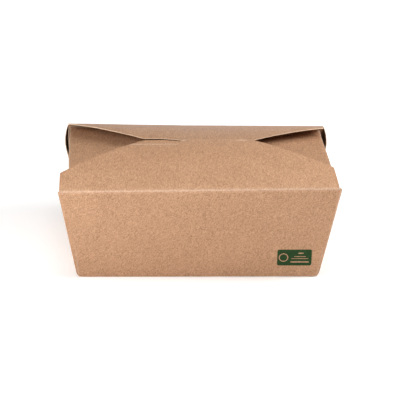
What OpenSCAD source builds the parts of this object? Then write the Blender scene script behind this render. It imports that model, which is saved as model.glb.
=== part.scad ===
// Folded takeaway carton of kraft board with a fold-over top.
// One creased sheet makes the base, four leaning walls, four web corners and four flaps.
// The web corners are doubled over and lie along the outside of the end walls, open at the top.
// The end flaps lie inside, the back flap is over them, and the front flap hooks on it and opens first.
// Millimetres. The origin is on the table under the middle of the base, and the front faces -Y.

/* [Board] */
// Thickness of the board
board_t = 0.5; // [0.35:0.05:0.8]
// How far the bead of a crease stands proud of each face of the board
crease_swell = 0.06; // [0.03:0.01:0.15]
// Air left between two plies that are folded onto each other
ply_gap = 0.25; // [0.1:0.05:0.6]

/* [Base] */
// Length of the base, left to right
base_l = 152; // [120:1:168]
// Width of the base, front to back
base_w = 120; // [95:1:138]

/* [Rim] */
// Length of the front and back walls along their top crease
rim_l = 175; // [160:1:210]
// Width between the top creases of the front and back walls
rim_w = 143.5; // [130:0.5:180]
// Height of the top creases above the table
rim_h = 61.5; // [40:0.5:110]
// How much lower the end walls are creased than the long walls
end_drop = 1; // [0.9:0.1:3]
// Slot between an end wall's edge and the long wall beside it, at the rim
corner_slot = 1.2; // [1.1:0.1:3]

/* [Web corners] */
// Extra distance that the front left web corner has sprung open at the rim
splay_front_left = 4.7; // [0:0.1:6]
// Extra distance that the back left web corner has sprung open at the rim
splay_back_left = 0; // [0:0.1:6]
// Extra distance that the front right web corner has sprung open at the rim
splay_front_right = 0; // [0:0.1:6]
// Extra distance that the back right web corner has sprung open at the rim
splay_back_right = 2.2; // [0:0.1:6]
// How far the outer ply of a web corner bellies out between its two creases
web_belly = 2.6; // [0:0.1:5]
// Distance from the middle of the end wall's board to the folded tip of a web corner
web_stand_off = 1.6; // [1.4:0.1:4]

/* [Wide flaps] */
// Height of the ridge above the top creases
ridge_rise = 11; // [8:0.5:20]
// Length of the straight shoulder beside each top crease
shoulder_l = 22.5; // [15:0.5:40]
// How far a shoulder is set in from the end of its wall
shoulder_set = 1.2; // [0.9:0.1:4]
// Radius on the outer corner of a shoulder
shoulder_r = 2; // [0.5:0.5:5]
// Length of the seam along the ridge, between the two notches
seam_l = 73; // [60:1:90]
// Air between the front flap and the back flap where one laps the other
lap_gap = 0.1; // [0.05:0.05:0.4]
// Gap between the front flap's crease bead and the front wall
crease_gap = 0.1; // [0.05:0.05:0.3]

/* [Lock] */
// Place along the seam where the front flap changes from under to over, right of the middle
lock_x = -10; // [-15:1:0]
// How far the front flap's tongue passes over the ridge
tongue_reach = 2.5; // [1:0.5:8]
// How far the back flap's tab reaches forward under the front flap
tab_reach = 9; // [4:0.5:14]
// Length of the front flap's bent-down ear, from its crease to the seam
ear_l = 8.5; // [6:0.5:16]
// Slant of the slit that frees the ear from the tongue
slit_slant = 3; // [2:0.5:8]
// Height of the dark gap between the ear and the back flap at the seam
ear_gap = 0.7; // [0.2:0.1:2]
// Distance that the ear and the tab keep from what is beside them
lock_clear = 0.4; // [0.3:0.1:1]

/* [End flaps] */
// Length of an end flap, from its crease to its free edge
end_flap_l = 57; // [30:1:66]
// Width of an end flap at its free edge
end_flap_w = 86; // [50:1:110]
// Distance that an end flap's sides are cut in from the ends of its crease
end_flap_relief = 2.5; // [1.5:0.5:8]
// Radius on the free corners of an end flap
end_flap_r = 8; // [2:1:15]
// Air between the free corners of an end flap and the wide flaps that they hold up
seat_gap = 0.3; // [0.1:0.1:1]

/* [Hidden] */
$fn = 96;

// Colours of the board: outside, and the side that the food touches
kraft_outside = [0.74, 0.57, 0.43];
kraft_flap = [0.78, 0.61, 0.47];
// Segments along a bellied edge, and along the rounded corner of an outline
belly_steps = 12;
corner_steps = 8;

crease_r = board_t / 2 + crease_swell;
fold_off = board_t + ply_gap;
doubled_r = (fold_off + board_t) / 2;
ply_stack = 2 * fold_off;
rim_half_l = rim_l / 2;
rim_half_w = rim_w / 2;
seam_half = seam_l / 2;
lap_rise = board_t + lap_gap;
shoulder_x = rim_half_l - shoulder_set;
shoulder_y = rim_half_w - shoulder_l;

// Lean of the long walls, and of the side edges in the flat blank
wall_flare_y = (rim_w - base_w) / 2;
wall_flare_x = (rim_l - base_l) / 2;
wall_slant = norm([wall_flare_y, rim_h - board_t / 2]);
wall_lean = atan(wall_flare_y / (rim_h - board_t / 2));
end_slant = norm([wall_flare_x, rim_h - board_t / 2]);
web_angle = (90 - atan(wall_flare_x / wall_slant) - atan(wall_flare_y / end_slant)) / 2;

function unit(v) = v / norm(v);
function between(a, b, s) = a + (b - a) * s;

// Radius of an arched flap from its rise, and its height above the rim at a distance y from the ridge
function arch_r(rise) = (rim_half_w * rim_half_w + rise * rise) / (2 * rise);
function arch_z(rise, y) = sqrt(pow(arch_r(rise), 2) - y * y) - arch_r(rise) + rise;

// Corner points on the middle of the board; sx is -1 at the left, sy is -1 at the front
function long_foot(sx, sy) = [sx * base_l / 2, sy * base_w / 2, board_t / 2];
function long_top(sx, sy) = [sx * rim_half_l, sy * rim_half_w, rim_h];
function splay(sx, sy) = sx < 0 ? (sy < 0 ? splay_front_left : splay_back_left)
                                : (sy < 0 ? splay_front_right : splay_back_right);
function end_foot(sx, sy) = [sx * (base_l / 2 - ply_stack), sy * base_w / 2, board_t / 2];
function end_top(sx, sy) = [
    sx * (rim_half_l - ply_stack - splay(sx, sy)),
    sy * (rim_half_w - corner_slot),
    rim_h - end_drop
];

// Place of an end wall's board across the box, at a given depth and height
function end_wall_x(sx, y, z) =
    let (front = end_top(sx, -1), back = end_top(sx, 1), foot = end_foot(sx, 1))
    let (top_x = between(front[0], back[0], (y - front[1]) / (back[1] - front[1])))
    between(foot[0], top_x, (z - foot[2]) / (front[2] - foot[2]));

// Folded tip of a web corner: the foot of the straight cut across the web in the flat blank
function web_tip(sx, sy) =
    let (foot = long_foot(sx, sy), edge = long_top(sx, sy) - foot)
    let (mid = unit(unit(edge) + unit(end_top(sx, sy) - end_foot(sx, sy))))
    let (inward = unit([0, -sy * mid[2], sy * mid[1]]))
    let (tip = foot + norm(edge) * cos(web_angle) * (mid * cos(web_angle) + inward * sin(web_angle)))
    [end_wall_x(sx, tip[1], tip[2]) + sx * web_stand_off, tip[1], tip[2]];

// Points of a rounded corner between two straight edges
function rounded_corner(before, corner, after, r) =
    let (u = unit(before - corner), v = unit(after - corner))
    let (half = acos(u * v) / 2, centre = corner + unit(u + v) * r / sin(half))
    let (start = corner + u * r / tan(half), end = corner + v * r / tan(half))
    let (a0 = atan2(start[1] - centre[1], start[0] - centre[0]))
    let (a1 = atan2(end[1] - centre[1], end[0] - centre[0]))
    let (turn = a1 - a0 > 180 ? a1 - a0 - 360 : (a1 - a0 < -180 ? a1 - a0 + 360 : a1 - a0))
    [for (i = [0 : corner_steps]) centre + r * [cos(a0 + turn * i / corner_steps),
                                                sin(a0 + turn * i / corner_steps)]];

// Outline through points of the form [x, y, corner radius]
function outline(points) =
    let (n = len(points))
    [for (i = [0 : n - 1])
        let (p = points[i], q = points[(i + n - 1) % n], s = points[(i + 1) % n])
        each p[2] > 0 ? rounded_corner([q[0], q[1]], [p[0], p[1]], [s[0], s[1]], p[2]) : [[p[0], p[1]]]];

// Round bar from one point to another, for the bead of a crease
module bead(from, to, r) {
    run = to - from;
    translate(from)
        rotate([0, acos(run[2] / norm(run)), atan2(run[1], run[0])])
            cylinder(h = norm(run), r = r);
}

// Board between two edges with the same number of points, as thick as the vector ply
module ruled_board(edge_a, edge_b, ply) {
    n = len(edge_a);
    points = [for (side = [-0.5, 0.5]) each [for (p = concat(edge_a, edge_b)) p + side * ply]];
    skin = [for (i = [0 : n - 2]) each [[i, i + 1, n + i + 1], [i, n + i + 1, n + i]]];
    under = [for (t = skin) t];
    over = [for (t = skin) [t[2] + 2 * n, t[1] + 2 * n, t[0] + 2 * n]];
    along = [for (i = [0 : n - 2]) each [
        [i + 1, i, 2 * n + i], [i + 1, 2 * n + i, 2 * n + i + 1],
        [n + i, n + i + 1, 3 * n + i + 1], [n + i, 3 * n + i + 1, 3 * n + i]]];
    across = [[0, n, 3 * n], [0, 3 * n, 2 * n],
              [2 * n - 1, n - 1, 3 * n - 1], [2 * n - 1, 3 * n - 1, 4 * n - 1]];
    polyhedron(points, concat(under, over, along, across));
}

// Board that fans out from one point to a curved edge, as thick as the vector ply
module fanned_board(apex, edge, ply) {
    n = len(edge);
    points = [for (side = [-0.5, 0.5]) each [for (p = concat([apex], edge)) p + side * ply]];
    under = [for (i = [1 : n - 1]) [0, i, i + 1]];
    over = [for (i = [1 : n - 1]) [n + 1, n + 2 + i, n + 1 + i]];
    rim = [for (i = [1 : n - 1]) each [[i + 1, i, n + 1 + i], [i + 1, n + 1 + i, n + 2 + i]]];
    sides = [[1, 0, n + 1], [1, n + 1, n + 2], [0, n, 2 * n + 1], [0, 2 * n + 1, n + 1]];
    polyhedron(points, concat(under, over, rim, sides));
}

module base_panel() {
    end_x = base_l / 2 - ply_stack;
    translate([-end_x, -base_w / 2, 0])
        cube([2 * end_x, base_w, board_t]);
    for (side = [-1, 1]) {
        bead(long_foot(-1, side), long_foot(1, side), crease_r);
        bead(end_foot(side, -1), end_foot(side, 1), crease_r);
    }
}

// Long wall; its height in the blank is cut short of the rim by the given amount
module long_wall(sy, short) {
    cut_x = base_l / 2 + wall_flare_x * (wall_slant - short) / wall_slant;
    translate([0, sy * base_w / 2, board_t / 2])
        rotate([90 - sy * wall_lean, 0, 0])
            translate([0, 0, -board_t / 2])
                linear_extrude(board_t)
                    polygon([[-base_l / 2, 0], [base_l / 2, 0],
                             [cut_x, wall_slant - short], [-cut_x, wall_slant - short]]);
}

module end_wall(sx) {
    feet = [for (i = [0 : belly_steps]) between(end_foot(sx, -sx), end_foot(sx, sx), i / belly_steps)];
    tops = [for (i = [0 : belly_steps]) between(end_top(sx, -sx), end_top(sx, sx), i / belly_steps)];
    ruled_board(feet, tops, [board_t * sx, 0, 0]);
    bead(end_top(sx, -1), end_top(sx, 1), crease_r);
}

// Doubled web corner: inner ply on the end wall's edge, outer ply on the long wall's edge
module web_corner(sx, sy) {
    out = [sx, 0, 0];
    tip = web_tip(sx, sy);
    wall_foot = long_foot(sx, sy);
    wall_top = long_top(sx, sy);
    fold_foot = wall_foot - out * fold_off / 2;
    inner_tip = tip - out * fold_off / 2;
    outer_tip = tip + out * fold_off / 2;
    inner_edge = [end_top(sx, sy) + out * fold_off, inner_tip];
    outer_edge = [for (i = [0 : belly_steps])
        let (s = i / belly_steps)
        between(wall_top, outer_tip, s) + out * web_belly * 4 * s * (1 - s)];
    hand = sx * sy;
    inner_ply = out * board_t * hand;
    fanned_board(wall_foot - out * fold_off, inner_edge, inner_ply);
    fanned_board(wall_foot, outer_edge, inner_ply);
    bead(wall_foot, wall_top, crease_r);
    bead(end_foot(sx, sy) + out * fold_off / 2, end_top(sx, sy) + out * fold_off / 2, doubled_r);
    bead(fold_foot, tip, doubled_r);
}

module end_flap(sx) {
    front = end_top(sx, -1);
    back = end_top(sx, 1);
    root_half = norm(back - front) / 2 - end_flap_relief;
    free_z = arch_z(ridge_rise, end_flap_w / 2) - board_t - seat_gap;
    rise = asin((free_z + end_drop) / end_flap_l);
    translate((front + back) / 2)
        rotate([0, 0, atan2(front[0] - back[0], back[1] - front[1])])
            mirror([sx > 0 ? 1 : 0, 0, 0])
                rotate([0, -rise, 0])
                    translate([0, 0, -board_t / 2])
                        linear_extrude(board_t)
                            polygon(outline([[0, -root_half, 0],
                                             [end_flap_l, -end_flap_w / 2, end_flap_r],
                                             [end_flap_l, end_flap_w / 2, end_flap_r],
                                             [0, root_half, 0]]));
}

// Arched board of a wide flap within an outline seen from above
module arched_board(rise, points) {
    r = arch_r(rise);
    intersection() {
        rotate([90, 0, 90])
            linear_extrude(rim_l, center = true)
                translate([0, rim_h + rise - r])
                    difference() {
                        circle(r + board_t / 2);
                        circle(r - board_t / 2);
                    }
        translate([0, 0, rim_h - 2 * board_t])
            linear_extrude(rise + 4 * board_t)
                polygon(points);
    }
}

// Back flap: left of the lock its edge is the seam, right of it a tab goes under the front flap
module back_flap() {
    tab_left = lock_x + lock_clear;
    tab_right = seam_half - tab_reach;
    arched_board(ridge_rise, outline([
        [-shoulder_x, rim_half_w, 0],
        [-shoulder_x, shoulder_y, shoulder_r],
        [-seam_half, 0, 0],
        [tab_left, 0, 0],
        [tab_left, -tab_reach, shoulder_r],
        [tab_right, -tab_reach, shoulder_r],
        [seam_half, 0, 0],
        [shoulder_x, shoulder_y, shoulder_r],
        [shoulder_x, rim_half_w, 0]]));
    bead([-shoulder_x, rim_half_w, rim_h], [shoulder_x, rim_half_w, rim_h], crease_r);
}

module carton() {
    color(kraft_outside)
        difference() {
            union() {
                base_panel();
                long_wall(-1, crease_r + crease_gap);
                long_wall(1, 0);
                back_flap();
                for (sx = [-1, 1]) {
                    end_wall(sx);
                    end_flap(sx);
                    for (sy = [-1, 1])
                        web_corner(sx, sy);
                }
            }
            translate([-rim_l, -rim_w, -rim_h])
                cube([2 * rim_l, 2 * rim_w, rim_h]);
        }
}

// Ear of the front flap, bent down from its own crease so that it can hook under the back flap
module ear(edge_x, end_x, root_x) {
    root_z = rim_h + arch_z(ridge_rise + lap_rise, ear_l);
    end_z = rim_h + ridge_rise - board_t - ear_gap;
    dip = atan((root_z - end_z) / ear_l);
    reach = (ear_l - lock_clear) / cos(dip);
    slit = slit_slant * reach / ear_l;
    // The crease runs a little past both sides of the ear
    past = lock_clear / 2;
    translate([0, -ear_l, root_z])
        rotate([-dip, 0, 0])
            translate([0, 0, -board_t / 2])
                linear_extrude(board_t)
                    polygon([[edge_x, 0], [root_x, 0], [root_x + slit, reach], [end_x, reach]]);
    bead([edge_x - past, -ear_l, root_z], [root_x + past, -ear_l, root_z], crease_r);
}

module front_flap() {
    slope = (shoulder_x - seam_half) / shoulder_y;
    ear_edge_x = -seam_half - slope * ear_l;
    ear_root_x = lock_x - lock_clear - slit_slant;
    color(kraft_flap) {
        arched_board(ridge_rise + lap_rise, outline([
            [-shoulder_x, -rim_half_w, 0],
            [-shoulder_x, -shoulder_y, shoulder_r],
            [ear_edge_x, -ear_l, 0],
            [ear_root_x + lock_clear, -ear_l, 0],
            [lock_x, 0, 0],
            [lock_x, tongue_reach, tongue_reach / 3],
            [seam_half - tongue_reach, tongue_reach, tongue_reach / 3],
            [seam_half, 0, 0],
            [shoulder_x, -shoulder_y, shoulder_r],
            [shoulder_x, -rim_half_w, 0]]));
        bead([-shoulder_x, -rim_half_w, rim_h], [shoulder_x, -rim_half_w, rim_h], crease_r);
        ear(ear_edge_x + lock_clear, lock_clear - seam_half, ear_root_x);
    }
}

carton();
front_flap();
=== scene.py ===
"""Looks of a folded kraft takeaway carton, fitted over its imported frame.

The whole carton is one creased sheet. Each panel is a grid of points on the middle of the board,
worked out from the carton's sizes. The grids are welded along their folds, bent a little as a carton
folded by hand is, and then given the thickness of the board.

Shapes are worked out in millimetres and become metres when a mesh is made. A side is -1 or 1: sx for
left or right, sy for front or back.
"""
import logging
import math
from dataclasses import dataclass, field
from enum import Enum
from functools import reduce
from typing import Sequence

import bpy
import numpy as np
from mathutils import Matrix, Vector


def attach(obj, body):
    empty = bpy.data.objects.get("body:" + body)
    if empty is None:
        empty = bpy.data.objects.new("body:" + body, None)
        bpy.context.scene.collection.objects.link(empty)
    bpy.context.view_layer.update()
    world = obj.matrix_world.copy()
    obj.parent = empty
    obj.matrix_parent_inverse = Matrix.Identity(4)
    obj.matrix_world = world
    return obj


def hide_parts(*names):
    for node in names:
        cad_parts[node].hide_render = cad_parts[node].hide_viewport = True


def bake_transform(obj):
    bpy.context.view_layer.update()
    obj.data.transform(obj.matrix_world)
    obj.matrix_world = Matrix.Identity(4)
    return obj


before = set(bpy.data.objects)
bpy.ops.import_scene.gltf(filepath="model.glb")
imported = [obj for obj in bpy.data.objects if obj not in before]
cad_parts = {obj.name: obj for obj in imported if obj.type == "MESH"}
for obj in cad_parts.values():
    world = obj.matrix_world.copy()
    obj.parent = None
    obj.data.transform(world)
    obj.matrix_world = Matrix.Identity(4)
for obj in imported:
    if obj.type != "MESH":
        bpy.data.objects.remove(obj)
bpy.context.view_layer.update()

MM = 0.001
NEAR = 1e-6
TINY = 1e-12
LOG = logging.getLogger("carton")
Array = np.ndarray
Pair = tuple[float, float]
Triple = tuple[float, float, float]
Colour = Triple
Layer = tuple[float, Colour]
Socket = bpy.types.NodeSocket
WHITE: Colour = (1.0, 1.0, 1.0)


class Facing(Enum):
    """Which way the outside of the board looks on a patch: as its grid is laid out, or turned over."""

    AS_LAID = 1
    TURNED = -1

    @classmethod
    def of(cls, sign: float) -> "Facing":
        """Facing for a positive or a negative sign."""
        return cls.AS_LAID if sign > 0 else cls.TURNED


class Stretch(Enum):
    """What the numbers of a mapping are: factors, or the size of a spot that turns with it."""

    FACTOR = "POINT"
    SPOT = "TEXTURE"


def unit(vector: Array) -> Array:
    """Vectors of length one in the same directions, for a vector or for rows of them."""
    return vector / np.maximum(np.linalg.norm(vector, axis=-1, keepdims=True), TINY)


def steps(start: float, stop: float, spacing: float) -> Array:
    """Evenly spaced values from start to stop, both included, at most the spacing apart."""
    count = max(1, math.ceil(abs(stop - start) / spacing))
    return np.linspace(start, stop, count + 1)


def merged(*parts: Sequence[float]) -> Array:
    """Sorted values of all parts, without the ones that repeat."""
    values = np.sort(np.concatenate([np.asarray(part, float) for part in parts]))
    return values[np.concatenate([[True], np.diff(values) > NEAR])]


def smooth(values: Array) -> Array:
    """Smooth step: 3 t squared minus 2 t cubed, with t cut to the range from 0 to 1."""
    t = np.clip(values, 0.0, 1.0)
    return t * t * (3.0 - 2.0 * t)


def spread(left: Array, right: Array, shares: Array) -> Array:
    """Values of a grid that go on each row evenly from left to right, at shares from 0 to 1."""
    return left[:, None] + (right - left)[:, None] * shares[None, :]


def round_rows(stop: float, radius: float, count: int) -> Array:
    """Places of rows over a round corner that ends at stop, at even angles of its quarter circle."""
    return stop - radius + radius * np.sin(np.linspace(0.0, math.pi / 2, count))


def round_inset(places: Array, stop: float, radius: float) -> Array:
    """How far a side draws in at a round corner: radius less the root of radius^2 - past^2."""
    past = np.clip(places - (stop - radius), 0.0, radius)
    return radius - np.sqrt(radius * radius - past * past)


def edge_keys(pairs: Array, count: int) -> Array:
    """One number for each pair of points, whichever of the two comes first."""
    return pairs.min(1) * count + pairs.max(1)


def set_attribute(mesh: bpy.types.Mesh, name: str, domain: str, values: Array) -> None:
    """Give each point, edge or face of a mesh a number, or a yes or no."""
    layer = mesh.attributes.new(name, "BOOLEAN" if values.dtype == bool else "FLOAT", domain)
    layer.data.foreach_set("value", values if values.dtype == bool else values.astype(np.float32))


def in_scene(name: str, data: bpy.types.ID) -> bpy.types.Object:
    """New object in the scene.

    Args:
        name: Name of the object.
        data: Its mesh, curve, light or camera.

    Returns:
        The object.
    """
    made = bpy.data.objects.new(name, data)
    bpy.context.scene.collection.objects.link(made)
    return made


@dataclass(frozen=True)
class CartonSizes:
    """Sizes of the carton in millimetres.

    They are those of its construction model, apart from the bellies of the web corners.
    """

    board: float = 0.5
    ply_gap: float = 0.25
    base_length: float = 152.0
    base_width: float = 120.0
    rim_length: float = 175.0
    rim_width: float = 143.5
    rim_height: float = 61.5
    end_drop: float = 1.0
    corner_slot: float = 1.2
    splay_front_left: float = 4.7
    splay_back_left: float = 0.0
    splay_front_right: float = 0.0
    splay_back_right: float = 2.2
    web_belly: float = 2.5
    inner_belly: float = 0.8
    web_stand_off: float = 1.6
    shoulder_radius: float = 2.0
    lock_x: float = -10.0
    lock_clear: float = 0.4
    tongue_reach: float = 2.5
    tab_reach: float = 9.0
    ear_length: float = 8.5
    slit_slant: float = 3.0
    end_flap_length: float = 57.0
    end_flap_width: float = 86.0
    end_flap_relief: float = 2.5
    end_flap_radius: float = 8.0
    seat_gap: float = 0.3
    crease_turn: float = 1.0
    seam_drop: float = 2.2

    @property
    def ply_pitch(self) -> float:
        """Distance between the middles of two plies folded onto each other."""
        return self.board + self.ply_gap

    @property
    def flare(self) -> Pair:
        """How far the end walls and the long walls lean out, from the base to the rim."""
        return (self.rim_length - self.base_length) / 2, (self.rim_width - self.base_width) / 2

    @property
    def slants(self) -> Pair:
        """Heights of the end walls and of the long walls, along their own slope."""
        return tuple(math.hypot(lean, self.rim_height - self.board / 2) for lean in self.flare)

    def long_foot(self, sx: int, sy: int) -> Array:
        """Lower corner of a long wall, on the middle of the board."""
        return np.array([sx * self.base_length / 2, sy * self.base_width / 2, self.board / 2])

    def long_top(self, sx: int, sy: int) -> Array:
        """Upper corner of a long wall."""
        return np.array([sx * self.rim_length / 2, sy * self.rim_width / 2, self.rim_height])

    def splay(self, sx: int, sy: int) -> float:
        """How far one web corner has sprung open at the rim."""
        return {(-1, -1): self.splay_front_left, (-1, 1): self.splay_back_left,
                (1, -1): self.splay_front_right, (1, 1): self.splay_back_right}[(sx, sy)]

    def end_foot(self, sx: int, sy: int) -> Array:
        """Lower corner of an end wall."""
        x = self.base_length / 2 - 2 * self.ply_pitch
        return np.array([sx * x, sy * self.base_width / 2, self.board / 2])

    def end_top(self, sx: int, sy: int) -> Array:
        """Upper corner of an end wall, drawn in by the splay of its web corner."""
        x, y = self.rim_length / 2 - 2 * self.ply_pitch, self.rim_width / 2 - self.corner_slot
        return np.array([sx * (x - self.splay(sx, sy)), sy * y, self.rim_height - self.end_drop])

    def web_tip(self, sx: int, sy: int) -> Array:
        """Folded tip of a web corner, where its diagonal fold meets the cut edge.

        The web opens flat by twice the angle between an edge and the diagonal. The tip is the foot of
        the straight cut across it, so it lies at the edge's length times the cosine of that angle. Its
        x is that of the end wall at its depth and height, and the stand-off.

        Args:
            sx: Side of the end wall.
            sy: Side of the long wall.

        Returns:
            The tip's place.
        """
        foot = self.long_foot(sx, sy)
        edge = self.long_top(sx, sy) - foot
        lean_x, lean_y = self.flare
        end_slant, wall_slant = self.slants
        angle = (math.pi / 2 - math.atan(lean_x / wall_slant) - math.atan(lean_y / end_slant)) / 2
        middle = unit(unit(edge) + unit(self.end_top(sx, sy) - self.end_foot(sx, sy)))
        inward = unit(np.array([0.0, -sy * middle[2], sy * middle[1]]))
        reach = np.linalg.norm(edge) * math.cos(angle)
        tip = foot + reach * (middle * math.cos(angle) + inward * math.sin(angle))
        front, back, wall_foot = self.end_top(sx, -1), self.end_top(sx, 1), self.end_foot(sx, 1)
        top_x = front[0] + (back[0] - front[0]) * (tip[1] - front[1]) / (back[1] - front[1])
        height = (tip[2] - wall_foot[2]) / (front[2] - wall_foot[2])
        tip[0] = wall_foot[0] + (top_x - wall_foot[0]) * height + sx * self.web_stand_off
        return tip

    def arch_height(self, rise: Array | float, y: Array | float) -> Array:
        """Height of a flap's arch above the rim: the circle through both creases that rises by rise."""
        radius = (self.rim_width ** 2 / 4 + rise * rise) / (2 * rise)
        return np.sqrt(radius * radius - np.square(y)) - radius + rise


@dataclass(frozen=True)
class HandFolding:
    """Small bends of a carton that was folded by hand, in millimetres. Pairs are for left and right.

    The rim is twisted, so each of its corners has a height of its own, and two of them are pulled in.
    The arches of the wide flaps press down. The back flap's edge left of the lock is lifted by the front
    flap's ear, which is hooked under it, and from there to the rim it bulges up a little.
    """

    sizes: CartonSizes
    lean: Pair = (-0.35, -0.95)
    front_lift: Pair = (-0.98, 0.93)
    back_lift: Pair = (0.53, -0.60)
    settle: float = -0.35
    front_left_in: float = 0.85
    back_right_in: float = 1.1
    front_rise: float = 10.6
    back_rise: float = 10.0
    hook_x: tuple[float, ...] = (-36.0, -24.0, -12.5, -9.8)
    hook_lift: tuple[float, ...] = (1.93, 1.85, 0.95, 0.0)
    bulge: float = 0.8
    bulge_x: Pair = (-75.0, -35.0)
    corner_press: float = 0.75
    corner_spread: float = 3.0

    def back_rise_at(self, x: Array) -> Array:
        """Rise of the back flap's arch at x: even on the right, and lifted more and more to the left."""
        return self.back_rise + np.interp(x, self.hook_x, self.hook_lift)

    def back_bulge(self, x: Array, distance: Array) -> Array:
        """Bulge of the back flap's left part: 6.75 s^2 (1 - s), s being 0 at the ridge and 1 at the rim."""
        share = np.clip(distance / (self.sizes.rim_width / 2), 0.0, 1.0)
        return self.bulge * np.interp(x, self.bulge_x, (1.0, 0.0)) * 6.75 * share ** 2 * (1.0 - share)

    def apply(self, points: Array) -> Array:
        """Points of the sheet after the bends.

        The box leans along X by what is left of its height. The rim settles, and its corners go up or
        down and inwards by their own amounts. Between the corners of one long side an amount changes
        evenly, and it fades evenly to the ridge. It fades to the base evenly along X and with the
        square of the height along Z. The corners of the base are pressed in by a bump that falls off
        within two millimetres: e to the power of minus the squared distance over corner_spread.

        Args:
            points: Points in millimetres, any shape that ends in 3.

        Returns:
            The bent points.
        """
        s, bent = self.sizes, np.array(points, float)
        x, y, z = points[..., 0], points[..., 1], points[..., 2]
        share = np.clip(z / s.rim_height, 0.0, 1.0)
        across = np.clip(np.abs(y) / (s.rim_width / 2), 0.0, 1.0)
        right = (x / (s.rim_length / 2) + 1.0) / 2.0
        lean, front, back = (ends[0] * (1.0 - right) + ends[1] * right
                             for ends in (self.lean, self.front_lift, self.back_lift))
        pull = np.where(y < 0, self.front_left_in * (1.0 - right), -self.back_right_in * right)
        bent[..., 0] += lean * (1.0 - share) + pull * across * share
        bent[..., 2] += (np.where(y < 0, front, back) * across + self.settle) * share * share
        gap = np.stack([np.abs(x) - s.base_length / 2, np.abs(y) - s.base_width / 2, z], -1)
        press = self.corner_press * np.exp(-np.sum(gap * gap, -1) / self.corner_spread)
        bent[..., 0] -= np.sign(x) * press
        bent[..., 1] -= np.sign(y) * press
        return bent


@dataclass
class Patch:
    """Grid of points on the middle of the board, which way it faces, and its looks.

    The crease strength and the painted pocket shade are given for each point, the painted light tone for
    the whole patch.
    """

    points: Array
    facing: Facing
    crease: Array
    tone: float
    pocket_shade: Array

    def quads(self, index: Array) -> Array:
        """Faces between the points of the grid.

        Args:
            index: Number of each point, in the order of the grid.

        Returns:
            Four numbers for each face, in the order that makes it look to the outside.
        """
        grid = index.reshape(self.points.shape[:2])
        quad = np.stack([grid[:-1, :-1], grid[:-1, 1:], grid[1:, 1:], grid[1:, :-1]], -1).reshape(-1, 4)
        return quad if self.facing is Facing.AS_LAID else quad[:, ::-1]


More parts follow.
